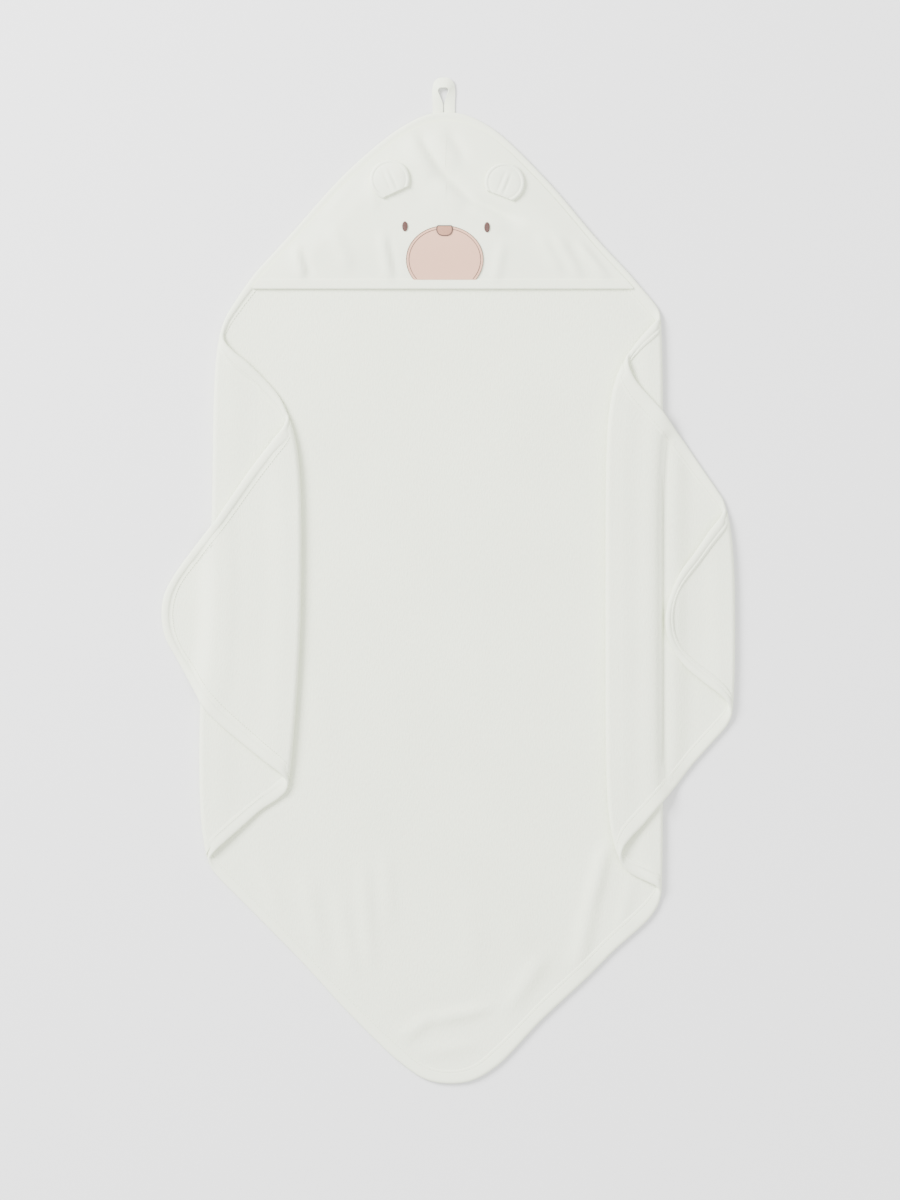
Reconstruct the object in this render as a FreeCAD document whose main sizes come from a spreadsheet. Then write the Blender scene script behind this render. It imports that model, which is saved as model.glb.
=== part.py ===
import FreeCAD, Part
import math
import os
import re

import Sketcher

# A hooded baby towel, laid face up as a diamond with the hood at the far corner. It is a square of terry cloth
# with a bound hem and rounded corners. Its left corner is pleated twice and its right corner three times,
# each layer on top of the one before. +X is to the right, +Y towards the hood, +Z up, with the origin
# on the underside, in the middle of the square. Lengths are in millimetres.

DIMENSIONS = [
    # The towel's square and its cloth
    ("side", 750),
    ("corner_radius", 68),
    ("hem_width", 11),
    ("hem_thickness", 3.6),
    ("terry_thickness", 3.0),
    ("layer_gap", 0.4),
    ("fold_clearance", 0.2),
    # Fold lines, each where it crosses the X axis, and how far their tops lean to the right
    ("left_fold_one", -247),
    ("left_fold_two", -152),
    ("left_lean", 2.4),
    ("right_fold_one", 223),
    ("right_fold_two", 165),
    ("right_fold_three", 297),
    # Where the square's middle would lie if each folded layer went on flat, and its turn
    ("left_inner_x", -502),
    ("left_inner_y", 12),
    ("left_inner_turn", -5),
    ("left_outer_x", 205),
    ("left_outer_y", 0),
    ("left_outer_turn", 4),
    ("right_inner_x", 462),
    ("right_inner_y", -11),
    ("right_middle_x", -112),
    ("right_middle_y", -13),
    ("right_outer_x", 728),
    ("right_outer_y", 16),
    ("right_outer_turn", 5),
    # The drape of a layer that comes down from the pleats to the ground
    ("drape_clearance", 1.5),
    ("drape_run", 12),
    # Hood
    ("hood_edge", 316.5),
    ("hood_band", 10),
    ("hood_seam_clearance", 1.0),
    ("hood_seat", 3.6),
    ("hood_thickness", 2.6),
    ("hood_rise", 5.2),
    ("hood_slope_run", 22),
    ("hood_band_extra", 0.3),
    ("seam_height", 6.6),
    # Ears
    ("ear_radius", 20),
    ("ear_centre_height", 14),
    ("ear_back_thickness", 1.0),
    ("ear_front_thickness", 1.4),
    ("ear_clearance", 0.4),
    ("left_ear_x", -52),
    ("left_ear_y", 415.5),
    ("left_ear_turn", 24.9),
    ("right_ear_x", 55),
    ("right_ear_y", 412),
    ("right_ear_turn", -21.8),
    # Face
    ("muzzle_x", -1.3),
    ("muzzle_y", 346),
    ("muzzle_half_width", 39.7),
    ("muzzle_half_height", 34.7),
    ("patch_thickness", 0.8),
    ("stitch_width", 1.2),
    ("stitch_spacing", 2.6),
    ("stitch_thickness", 0.6),
    ("nose_x", -1.5),
    ("nose_top", 381.5),
    ("nose_half_width", 8.5),
    ("nose_depth", 11.5),
    ("embroidery_thickness", 1.0),
    ("eye_x", 42),
    ("eye_y", 379.5),
    ("eye_half_width", 3),
    ("eye_half_height", 5),
    # Hanging loop
    ("loop_base", 503),
    ("loop_top", 534),
    ("loop_left", -14),
    ("loop_right", 9),
    ("loop_foot_inset", 1.5),
    ("loop_thickness", 2.0),
    ("tape_width", 10),
    ("loop_hole_depth", 14),
    # How far a cutting tool reaches past the cloth
    ("reach", 1600),
    ("tool_height", 60),
]
ALIASES = {alias for alias, _ in DIMENSIONS}

doc = FreeCAD.newDocument("hooded_baby_towel")
sheet = doc.addObject("Spreadsheet::Sheet", "dimensions")
for row, (alias, number) in enumerate(DIMENSIONS, 1):
    sheet.set(f"A{row}", alias)
    sheet.set(f"B{row}", str(number))
    sheet.setAlias(f"B{row}", alias)
doc.recompute()


def formula(text):
    """An expression over the sheet, from one that names the dimensions only."""
    return re.sub(r"[a-z_]+", lambda word: f"dimensions.{word[0]}" if word[0] in ALIASES else word[0], str(text))


def measure(text):
    """The number that a formula gives."""
    return float(sheet.evalExpression(formula(text)))


def bind(thing, **sizes):
    """Binds properties to formulas. Two underscores stand for a dot in a property's path."""
    for path, text in sizes.items():
        thing.setExpression(path.replace("__", "."), formula(text))


def place(thing, x=0, y=0, z=0, turn=0):
    """Puts a thing at a point, turned about Z, all as formulas."""
    bind(thing, Placement__Base__x=x, Placement__Base__y=y, Placement__Base__z=z, Placement__Rotation__Angle=turn)


def arc_between(start, end, radius):
    """The shorter arc from start to end with its centre on the left."""
    chord = end - start
    left = FreeCAD.Vector(-chord.y, chord.x, 0).normalize()
    centre = (start + end) / 2 + left * math.sqrt(radius**2 - (chord.Length / 2) ** 2)
    first, last = (math.atan2(point.y - centre.y, point.x - centre.x) for point in (start, end))
    return Part.ArcOfCircle(Part.Circle(centre, FreeCAD.Vector(0, 0, 1), radius), first, last)


def draw(sketch, corners, radii=None):
    """Draws a closed outline through corners, given as formulas. radii holds the edges that are arcs."""
    radii = radii or {}
    points = [FreeCAD.Vector(measure(x), measure(y), 0) for x, y in corners]
    count = len(points)
    for index, start in enumerate(points):
        end = points[(index + 1) % count]
        if index in radii:
            sketch.addGeometry(arc_between(start, end, measure(radii[index])))
        else:
            sketch.addGeometry(Part.LineSegment(start, end))
    for index in range(count):
        sketch.addConstraint(Sketcher.Constraint("Coincident", index, 2, (index + 1) % count, 1))
    for index, (x, y) in enumerate(corners):
        for kind, text in (("DistanceX", x), ("DistanceY", y)):
            number = sketch.addConstraint(Sketcher.Constraint(kind, -1, 1, index, 1, measure(text)))
            sketch.renameConstraint(number, f"{kind}_{index}")
            sketch.setExpression(f"Constraints.{kind}_{index}", formula(text))
    for index, text in radii.items():
        number = sketch.addConstraint(Sketcher.Constraint("Radius", index, measure(text)))
        sketch.renameConstraint(number, f"Radius_{index}")
        sketch.setExpression(f"Constraints.Radius_{index}", formula(text))
    return sketch


def loose_sketch(name, corners, radii=None, upright=False):
    """A sketch outside any body: flat, or upright with its second axis along Z."""
    sketch = doc.addObject("Sketcher::SketchObject", name)
    if upright:
        sketch.Placement = FreeCAD.Placement(FreeCAD.Vector(), FreeCAD.Rotation(FreeCAD.Vector(1, 0, 0), 90))
    return draw(sketch, corners, radii)


def extrude(name, profile, along, length, symmetric=False):
    """A solid drawn out from a flat profile."""
    solid = doc.addObject("Part::Extrusion", name)
    solid.Base = profile
    solid.DirMode = "Custom"
    solid.Dir = along
    solid.Solid = True
    solid.Symmetric = symmetric
    bind(solid, LengthFwd=length)
    return solid


def box(name, length, width, height, x, y, z):
    """A block from its low corner."""
    block = doc.addObject("Part::Box", name)
    bind(block, Length=length, Width=width, Height=height)
    place(block, x, y, z)
    return block


def common(name, *things):
    overlap = doc.addObject("Part::MultiCommon", name)
    overlap.Shapes = list(things)
    return overlap


def cut(name, base, tool):
    difference = doc.addObject("Part::Cut", name)
    difference.Base = base
    difference.Tool = tool
    return difference


def fuse(name, *things):
    union = doc.addObject("Part::MultiFuse", name)
    union.Shapes = list(things)
    return union


UP = FreeCAD.Vector(0, 0, 1)
ALONG_FOLD = FreeCAD.Vector(0, 1, 0)


def rounded_square(name, inset):
    """The towel's outline, or one inside it by inset, with its sides along X and Y."""
    half = f"(side / 2 - {inset})"
    straight = "(side / 2 - corner_radius)"
    corners = [
        (f"-{straight}", f"-{half}"),
        (straight, f"-{half}"),
        (half, f"-{straight}"),
        (half, straight),
        (straight, half),
        (f"-{straight}", half),
        (f"-{half}", straight),
        (f"-{half}", f"-{straight}"),
    ]
    return loose_sketch(name, corners, {edge: f"corner_radius - {inset}" for edge in (1, 3, 5, 7)})


towel_outline = rounded_square("towel_outline", "0")
terry_outline = rounded_square("terry_outline", "hem_width")


def outline_prism(name, outline, x, y, turn):
    """A tall prism of an outline, where one layer of the towel lies."""
    prism = extrude(name, outline, UP, "tool_height")
    place(prism, x, y, "-tool_height / 2", f"45 + {turn}")
    return prism


def strip(name, corners, fold, turn):
    """A bar beside a fold line, with an upright section whose first axis starts at the fold."""
    profile = loose_sketch(name + "_profile", corners, upright=True)
    bar = extrude(name, profile, ALONG_FOLD, "reach", symmetric=True)
    place(bar, fold, 0, 0, turn)
    return bar


def flat_section(low, high, start, end):
    return [(start, low), (end, low), (end, high), (start, high)]


# The tangent of half the drape's slope moves each bend sideways, so that the cloth keeps its thickness.
LAYER_PITCH = "(hem_thickness + layer_gap)"
DRAPE_SHIFT = f"tan(atan(2 * {LAYER_PITCH} / drape_run) / 2)"


def draped_section(low, high, top_bend, start, end):
    """A layer that lies on two others, comes down past their fold, and ends on the ground."""
    stack = f"2 * {LAYER_PITCH}"
    foot = f"{top_bend} + drape_run"
    return [
        (start, f"{stack} + {low}"),
        (f"{top_bend} + {low} * {DRAPE_SHIFT}", f"{stack} + {low}"),
        (f"{foot} + {low} * {DRAPE_SHIFT}", low),
        (end, low),
        (end, high),
        (f"{foot} + {high} * {DRAPE_SHIFT}", high),
        (f"{top_bend} + {high} * {DRAPE_SHIFT}", f"{stack} + {high}"),
        (start, f"{stack} + {high}"),
    ]


def layer(panel_name, hem_name, lay, terry_strips, hem_strips):
    """One folded layer: its terry, and the hem around it."""
    outer = outline_prism(panel_name + "_outer", towel_outline, *lay)
    inner = outline_prism(panel_name + "_inner", terry_outline, *lay)
    common(panel_name, inner, *terry_strips)
    ring = cut(hem_name + "_ring", outer, inner)
    return common(hem_name, ring, *hem_strips)


NODES = []

# The middle of the towel lies on the ground between the first folds of both sides.
middle_strips = {}
for part_name, thickness in (("terry", "terry_thickness"), ("hem", "hem_thickness")):
    section = flat_section("0", thickness, "0", "reach / 2")
    middle_strips[part_name] = [
        strip(f"right_of_left_fold_{part_name}", section, "left_fold_one", "-left_lean"),
        strip(f"left_of_right_fold_{part_name}", section, "right_fold_one", "180"),
    ]
MIDDLE = ("0", "0", "0")
layer("body_panel", "middle_hem", MIDDLE, middle_strips["terry"], middle_strips["hem"])
lower_half = box("lower_half", "reach", "reach / 2", "tool_height", "-reach / 2", "-reach / 2", "-tool_height / 2")
upper_half = box("upper_half", "reach", "reach / 2", "tool_height", "-reach / 2", "0", "-tool_height / 2")
common("lower_hem", doc.getObject("middle_hem"), lower_half)
flat_upper_hem = common("flat_upper_hem", doc.getObject("middle_hem"), upper_half)
seam_box = box(
    "seam_box", "reach", "reach / 2", "seam_height - hem_thickness", "-reach / 2", "hood_edge", "hem_thickness"
)
raised_seam = common("raised_seam", doc.getObject("middle_hem_ring"), seam_box)
fuse("upper_hem", flat_upper_hem, raised_seam)
NODES += ["body_panel", "lower_hem", "upper_hem"]

# Left corner: an inner layer face down on the body, then an outer layer that comes down to the ground.
FACE_DOWN_LOW = f"{LAYER_PITCH} + hem_thickness - terry_thickness"
FACE_DOWN_HIGH = f"{LAYER_PITCH} + hem_thickness"


def between_folds(low, width):
    """An inner layer's section, which stops just short of the folds at both its ends."""
    return flat_section(low, FACE_DOWN_HIGH, "fold_clearance", f"{width} - fold_clearance")


left_width = "((left_fold_two - left_fold_one) * cos(left_lean))"
layer(
    "left_inner_panel",
    "left_inner_hem",
    ("left_inner_x", "left_inner_y", "left_inner_turn"),
    [strip("left_inner_terry", between_folds(FACE_DOWN_LOW, left_width), "left_fold_one", "-left_lean")],
    [strip("left_inner_edge", between_folds(LAYER_PITCH, left_width), "left_fold_one", "-left_lean")],
)
left_bend = f"({left_width} + drape_clearance)"
layer(
    "left_corner_panel",
    "left_corner_hem",
    ("left_outer_x", "left_outer_y", "left_outer_turn"),
    [strip("left_corner_terry", draped_section("0", "terry_thickness", left_bend, "0", "side / 2"),
           "left_fold_two", "180 - left_lean")],
    [strip("left_corner_edge", draped_section("0", "hem_thickness", left_bend, "0", "side / 2"),
           "left_fold_two", "180 - left_lean")],
)
NODES += ["left_inner_panel", "left_inner_hem", "left_corner_panel", "left_corner_hem"]

# Right corner: an inner layer, a middle layer that comes down to the ground, and the corner folded back on it.
right_width = "(right_fold_one - right_fold_two)"
layer(
    "right_inner_panel",
    "right_inner_hem",
    ("right_inner_x", "right_inner_y", "0"),
    [strip("right_inner_terry", between_folds(FACE_DOWN_LOW, right_width), "right_fold_one", "180")],
    [strip("right_inner_edge", between_folds(LAYER_PITCH, right_width), "right_fold_one", "180")],
)
right_bend = f"({right_width} + drape_clearance)"
third_fold = "(right_fold_three - right_fold_two)"
layer(
    "right_middle_panel",
    "right_middle_hem",
    ("right_middle_x", "right_middle_y", "0"),
    [strip("right_middle_terry", draped_section("0", "terry_thickness", right_bend, "0", third_fold),
           "right_fold_two", "0")],
    [strip("right_middle_edge", draped_section("0", "hem_thickness", right_bend, "0", third_fold),
           "right_fold_two", "0")],
)
corner_start = f"({right_width} - hem_width)"
layer(
    "right_corner_panel",
    "right_corner_hem",
    ("right_outer_x", "right_outer_y", "right_outer_turn"),
    [strip("right_corner_terry",
           draped_section(f"({FACE_DOWN_LOW})", f"({FACE_DOWN_HIGH})", right_bend, corner_start, third_fold),
           "right_fold_two", "0")],
    [strip("right_corner_edge",
           draped_section(LAYER_PITCH, f"({FACE_DOWN_HIGH})", right_bend, corner_start, third_fold),
           "right_fold_two", "0")],
)
NODES += ["right_inner_panel", "right_inner_hem", "right_middle_panel", "right_middle_hem"]
NODES += ["right_corner_panel", "right_corner_hem"]


# The hood is a shallow cap sewn along the two upper hems and open along its straight edge.
def hood_section(name, inset, height):
    """The hood's outline, inside the towel's by inset, at a height."""
    tip = f"((side / 2 - {inset}) * sqrt(2))"
    half = f"({tip} - hood_edge)"
    round_x = f"((corner_radius - {inset}) / sqrt(2))"
    round_y = f"({tip} - (corner_radius - {inset}) / sqrt(2))"
    corners = [(f"-{half}", "hood_edge"), (half, "hood_edge"), (round_x, round_y), (f"-{round_x}", round_y)]
    section = loose_sketch(name, corners, {2: f"corner_radius - {inset}"})
    bind(section, Placement__Base__z=height)
    return section


SEAM_INSET = "(hem_width + hood_seam_clearance)"
CROWN_INSET = "(hem_width + hood_seam_clearance + hood_slope_run)"


def hood_loft(name, low, height):
    """The sloped body under the hood's surface, from its seam up to its flat crown."""
    loft = doc.addObject("Part::Loft", name)
    loft.Sections = [
        hood_section(name + "_seam", SEAM_INSET, low),
        hood_section(name + "_crown", CROWN_INSET, f"{low} + {height}"),
    ]
    loft.Solid = True
    loft.Ruled = True
    return loft


def hood_shell(name, low, thickness):
    """The cap: the body under its outer face, less the body under its inner face."""
    wall = extrude(name + "_wall", hood_section(name + "_foot", SEAM_INSET, low), UP, thickness)
    outside = fuse(name + "_outside", wall, hood_loft(name + "_top", f"{low} + {thickness}", "hood_rise"))
    return cut(name, outside, hood_loft(name + "_pocket", low, "hood_rise"))


band_box = box("band_box", "reach", "hood_band", "tool_height", "-reach / 2", "hood_edge", "-tool_height / 2")
beyond_band = box(
    "beyond_band", "reach", "reach / 2", "tool_height", "-reach / 2", "hood_edge + hood_band", "-tool_height / 2"
)
common("hood_panel", hood_shell("hood_cloth", "hood_seat", "hood_thickness"), beyond_band)
band_shell = hood_shell("hood_tape", "hood_seat - hood_band_extra", "(hood_thickness + 2 * hood_band_extra)")
common("hood_edge_binding", band_shell, band_box)
NODES += ["hood_panel", "hood_edge_binding"]

HOOD_TOP = "(hood_seat + hood_thickness + hood_rise)"


# Each ear is a disc cut straight along its base seam, in two layers sewn together.
def ear_layer(name, side_name, low, thickness):
    disc = doc.addObject("Part::Cylinder", name + "_disc")
    bind(disc, Radius="ear_radius", Height=thickness)
    place(disc, 0, "ear_centre_height", 0)
    beyond_seam = box(
        name + "_beyond_seam", "4 * ear_radius", "4 * ear_radius", thickness, "-2 * ear_radius", "0", "0"
    )
    flap = common(name, disc, beyond_seam)
    place(flap, f"{side_name}_ear_x", f"{side_name}_ear_y", low, f"{side_name}_ear_turn")
    return flap


for side_name in ("left", "right"):
    back_low = f"{HOOD_TOP} + ear_clearance"
    ear_layer(f"{side_name}_ear_back", side_name, back_low, "ear_back_thickness")
    ear_layer(f"{side_name}_ear_front", side_name, f"{back_low} + ear_back_thickness", "ear_front_thickness")
    NODES += [f"{side_name}_ear_back", f"{side_name}_ear_front"]


# The face is flat patches and raised stitching on the hood's crown.
def ellipse_prism(name, half_width, half_height, thickness, x, y, z):
    """An elliptical disc, standing upright when it is taller than it is wide."""
    ring = doc.addObject("Part::Ellipse", name + "_edge")
    tall = measure(half_height) > measure(half_width)
    major, minor = (half_height, half_width) if tall else (half_width, half_height)
    bind(ring, MajorRadius=major, MinorRadius=minor)
    disc = extrude(name, ring, UP, thickness)
    place(disc, x, y, z, 90 if tall else 0)
    return disc


def muzzle_prism(name, inset, thickness, z):
    return ellipse_prism(
        name, f"muzzle_half_width - {inset}", f"muzzle_half_height - {inset}", thickness, "muzzle_x", "muzzle_y", z
    )


common("muzzle_patch", muzzle_prism("muzzle_disc", "0", "patch_thickness", HOOD_TOP), beyond_band)
STITCH_LOW = f"({HOOD_TOP} + patch_thickness)"


def below(name, height):
    """Everything on the near side of a line across the hood."""
    return box(name, "reach", "reach / 2", "tool_height", "-reach / 2", f"{height} - reach / 2", "-tool_height / 2")


def half_nose(name, inset):
    """The lower half of an ellipse, with a flat top, inside the nose's outline by inset."""
    disc = ellipse_prism(
        name + "_disc",
        f"nose_half_width - {inset}",
        f"nose_depth - {inset}",
        "embroidery_thickness",
        "nose_x",
        "nose_top",
        STITCH_LOW,
    )
    return common(name, disc, below(name + "_top", f"nose_top - {inset}"))


nose_whole = half_nose("nose_whole", "0")
cut("nose_outline", nose_whole, half_nose("nose", "stitch_width"))
rings = []
for ring_name, inset in (("outer_stitch", "0"), ("inner_stitch", "stitch_spacing")):
    outer = muzzle_prism(ring_name + "_outer", inset, "stitch_thickness", STITCH_LOW)
    inner = muzzle_prism(ring_name + "_inner", f"({inset} + stitch_width)", "stitch_thickness", STITCH_LOW)
    open_ring = common(ring_name + "_open", cut(ring_name + "_ring", outer, inner), beyond_band)
    rings.append(cut(ring_name, open_ring, nose_whole))
muzzle_stitching = doc.addObject("Part::Compound", "muzzle_stitching")
muzzle_stitching.Links = rings
for side_name, sign in (("left", "-"), ("right", "")):
    half_sizes = ("eye_half_width", "eye_half_height")
    ellipse_prism(f"{side_name}_eye", *half_sizes, "embroidery_thickness", f"{sign}eye_x", "eye_y", HOOD_TOP)
NODES += ["muzzle_patch", "muzzle_stitching", "nose", "nose_outline", "left_eye", "right_eye"]

# The hanging loop is one tape, folded flat at the top, with a three-cornered gap between its legs.
hanging_loop = doc.addObject("PartDesign::Body", "hanging_loop")
ground_plane = next(plane for plane in hanging_loop.Origin.OriginFeatures if plane.Role == "XY_Plane")


def loop_sketch(name, corners):
    sketch = hanging_loop.newObject("Sketcher::SketchObject", name)
    sketch.AttachmentSupport = (ground_plane, [""])
    sketch.MapMode = "FlatFace"
    return draw(sketch, corners)


loop_pad = hanging_loop.newObject("PartDesign::Pad", "loop_pad")
loop_pad.Profile = loop_sketch("loop_outline", [
    ("loop_left + loop_foot_inset", "loop_base"),
    ("loop_right - loop_foot_inset", "loop_base"),
    ("loop_right", "loop_top"),
    ("loop_left", "loop_top"),
])
bind(loop_pad, Length="loop_thickness")
doc.recompute()
loop_gap = hanging_loop.newObject("PartDesign::Pocket", "loop_gap")
loop_gap.Profile = loop_sketch("loop_hole", [
    ("(loop_left + loop_right) / 2", "loop_top - tape_width - loop_hole_depth"),
    ("(loop_left + loop_right + tape_width) / 2", "loop_top - tape_width"),
    ("(loop_left + loop_right - tape_width) / 2", "loop_top - tape_width"),
])
loop_gap.Type = "ThroughAll"
loop_gap.Midplane = True
NODES.append("hanging_loop")

doc.recompute()
for thing in doc.Objects:
    if {"Invalid", "Error"} & set(thing.State):
        raise RuntimeError(f"{thing.Name} did not build: {thing.State}")
os.makedirs("parts", exist_ok=True)
for node in NODES:
    piece = doc.getObject(node)
    piece.Label = node
    if piece.Shape.isNull() or not piece.Shape.isValid() or not piece.Shape.Solids:
        raise RuntimeError(f"{node} has no sound solid")
    piece.Shape.exportStep(f"parts/{node}.step")
    print(f"{node:22} {len(piece.Shape.Solids)} solid(s), {piece.Shape.Volume / 1000:8.2f} cm3")
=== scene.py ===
# %% [markdown]
# A hooded baby towel, laid out flat: a diamond of ivory terry with a hood at its top corner. Its two side
# corners are pleated in, and a bear's face is sewn on the hood. The fixed frame comes first, because many
# cloths here ride on one of its bodies, and the rest are fixed in place.

# %% Load the frame
import math

import bpy
import numpy as np
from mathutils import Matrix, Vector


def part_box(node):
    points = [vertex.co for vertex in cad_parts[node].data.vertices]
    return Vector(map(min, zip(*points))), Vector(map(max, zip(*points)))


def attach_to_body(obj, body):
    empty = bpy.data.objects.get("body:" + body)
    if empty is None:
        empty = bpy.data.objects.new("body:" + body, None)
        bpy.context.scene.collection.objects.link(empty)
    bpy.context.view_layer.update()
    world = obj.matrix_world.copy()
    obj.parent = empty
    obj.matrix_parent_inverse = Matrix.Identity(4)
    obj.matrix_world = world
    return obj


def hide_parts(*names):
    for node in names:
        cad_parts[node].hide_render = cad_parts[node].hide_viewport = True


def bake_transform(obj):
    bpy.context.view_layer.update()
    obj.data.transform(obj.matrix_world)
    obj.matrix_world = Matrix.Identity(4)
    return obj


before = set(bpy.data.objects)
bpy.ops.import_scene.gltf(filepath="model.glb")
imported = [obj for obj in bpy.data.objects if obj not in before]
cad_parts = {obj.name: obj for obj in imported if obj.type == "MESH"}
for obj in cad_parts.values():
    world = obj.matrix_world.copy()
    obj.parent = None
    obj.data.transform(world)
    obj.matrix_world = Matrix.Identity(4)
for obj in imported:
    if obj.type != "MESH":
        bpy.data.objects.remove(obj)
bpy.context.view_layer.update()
MM = 0.001

# %% [markdown]
# Every piece is a mesh made from whole arrays of points. Cloth has a thickness, so a grid of points gets
# two skins, one each side of its middle, and a rim joins them. The rim's edges are marked sharp, so that
# its shading doesn't bleed on to the faces and two pieces that meet edge to edge look like one cloth.


# %% Mesh tools
def unit(vectors):
    """Each vector divided by its length."""
    return vectors / np.maximum(np.linalg.norm(vectors, axis=-1, keepdims=True), 1e-12)


def together(*parts):
    """Arrays that spread to one shape, side by side as the coordinates of points."""
    return np.stack(np.broadcast_arrays(*parts), axis=-1)


def add_piece(name, points, quads, material, sharp=None, along=None):
    """An object from points in millimetres and faces of four. sharp marks the points whose shared edges are
    creases, and along, one pair of millimetres a point, becomes the UV map that a weave follows."""
    mesh = bpy.data.meshes.new(name)
    mesh.from_pydata((points.reshape(-1, 3) * MM).tolist(), [], quads.reshape(-1, 4).tolist())
    mesh.polygons.foreach_set("use_smooth", np.ones(len(mesh.polygons), bool))
    corners = np.empty(len(mesh.loops), np.int32)
    mesh.loops.foreach_get("vertex_index", corners)
    if along is not None:
        layer = mesh.uv_layers.new(name="cloth")
        layer.data.foreach_set("uv", (along.reshape(-1, 2)[corners] * MM).astype(np.float32).ravel())
    if sharp is not None:
        ends = np.empty(len(mesh.edges) * 2, np.int32)
        mesh.edges.foreach_get("vertices", ends)
        flags = sharp.ravel()[ends.reshape(-1, 2)].all(axis=1)
        mesh.edges.foreach_set("use_edge_sharp", flags)
    mesh.materials.append(material)
    mesh.validate()
    piece = bpy.data.objects.new(name, mesh)
    bpy.context.scene.collection.objects.link(piece)
    return piece


def grid_quads(rows, columns, start=0, closed=False):
    """The faces of a grid of points, numbered row by row from start. closed joins each row's end to its
    start."""
    steps = columns if closed else columns - 1
    row, column = np.meshgrid(np.arange(rows - 1), np.arange(steps), indexing="ij")
    beside = (column + 1) % columns
    here = start + row * columns
    return together(here + column, here + beside, here + columns + beside, here + columns + column)


def grid_normals(points):
    """The unit normal at each point of a grid: its step along the rows crossed with its step up the
    columns."""
    return unit(np.cross(np.gradient(points, axis=1), np.gradient(points, axis=0)))


def cloth(name, points, half, material, along=None, normals=None):
    """A closed cloth about a middle grid: one skin half a thickness out along the normals, the other as far
    in, and a rim. half is a number, or one number a point."""
    rows, columns = points.shape[:2]
    normals = grid_normals(points) if normals is None else normals
    lift = normals * np.broadcast_to(np.asarray(half, float), (rows, columns))[..., None]
    skins = np.stack([points + lift, points - lift])
    top = grid_quads(rows, columns)
    under = grid_quads(rows, columns, rows * columns)[..., ::-1]
    number = np.arange(rows * columns).reshape(rows, columns)
    loop = np.concatenate([number[0, :-1], number[:-1, -1], number[-1, :0:-1], number[:0:-1, 0]])
    onward = np.roll(loop, -1)
    rim = together(loop, loop + rows * columns, onward + rows * columns, onward)
    faces = np.concatenate([top.reshape(-1, 4), under.reshape(-1, 4), rim])
    edge = np.zeros((2, rows, columns), bool)
    edge[:, [0, -1], :] = True
    edge[:, :, [0, -1]] = True
    uv = None if along is None else np.stack([along, along])
    return add_piece(name, skins, faces, material, edge, uv)


def swept(name, rings, material, along=None):
    """A closed solid from rings of points, one ring after another, capped at both ends."""
    count, size = rings.shape[:2]
    quads = grid_quads(count, size, closed=True)
    half = size // 2
    steps = np.arange(half - 1)
    cap = together(steps, steps + 1, size - 2 - steps, size - 1 - steps)
    faces = np.concatenate([quads.reshape(-1, 4), cap[:, ::-1], cap + (count - 1) * size])
    edge = np.zeros((count, size), bool)
    edge[[0, -1]] = True
    return add_piece(name, rings, faces, material, edge, along)


def fade(distance, reach):
    """One at no distance, nothing at the reach, and level at both ends."""
    share = np.clip(np.asarray(distance, float) / reach, 0, 1)
    return (1 - share) ** 2 * (1 + 2 * share)


# %% [markdown]
# Terry is a knit with a loop pile on it. Thousands of soft loops stand in fine ranks, the light sinks
# between them, and a little sheen shows where the pile leans. So each cloth here mixes a fine fleck with a
# rank pattern, gives the low flecks a darker colour as painted shade between the loops, keeps its roughness
# high, and adds a soft sheen. The ranks read the cloth's own map, so they bend with it.


# %% Node helper
def shader(name, base, roughness, sheen=0.0):
    """A new material, its nodes' maker, its main shader, and a way to link two sockets."""
    material = bpy.data.materials.new(name)
    material.use_nodes = True
    nodes = material.node_tree.nodes
    links = material.node_tree.links
    main = nodes["Principled BSDF"]
    main.inputs["Base Color"].default_value = (*base, 1)
    main.inputs["Roughness"].default_value = roughness
    main.inputs["Specular IOR Level"].default_value = 0.2
    main.inputs["Sheen Weight"].default_value = sheen
    main.inputs["Sheen Roughness"].default_value = 0.6
    return material, nodes.new, main, links.new


def mapped(new, link, source, scale):
    """The cloth's own map ("UV") or the object's place ("Object"), stretched by a scale."""
    where = new("ShaderNodeTexCoord")
    mapping = new("ShaderNodeMapping")
    mapping.inputs["Scale"].default_value = scale
    link(where.outputs[source], mapping.inputs["Vector"])
    return mapping.outputs["Vector"]


def noise(new, link, vector, scale, detail=2.0):
    """A cloud of that many spots a metre."""
    cloud = new("ShaderNodeTexNoise")
    cloud.inputs["Scale"].default_value = scale
    cloud.inputs["Detail"].default_value = detail
    link(vector, cloud.inputs["Vector"])
    return cloud.outputs["Fac"]


def blend_colours(new, link, share, low, high, near=0.35, far=0.65):
    """A ramp from one colour to another as the share climbs."""
    ramp = new("ShaderNodeValToRGB")
    ramp.color_ramp.elements[0].position = near
    ramp.color_ramp.elements[1].position = far
    ramp.color_ramp.elements[0].color = (*low, 1)
    ramp.color_ramp.elements[1].color = (*high, 1)
    link(share, ramp.inputs["Fac"])
    return ramp.outputs["Color"]


def raised(new, link, main, height, distance, strength):
    """A bump from a height, chained before whatever bump the shader has already."""
    bump = new("ShaderNodeBump")
    bump.inputs["Distance"].default_value = distance
    bump.inputs["Strength"].default_value = strength
    link(height, bump.inputs["Height"])
    normal = main.inputs["Normal"]
    if normal.is_linked:
        link(normal.links[0].from_socket, bump.inputs["Normal"])
    link(bump.outputs["Normal"], normal)


# %% Cloth materials
IVORY = (0.86, 0.905, 0.73)


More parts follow.
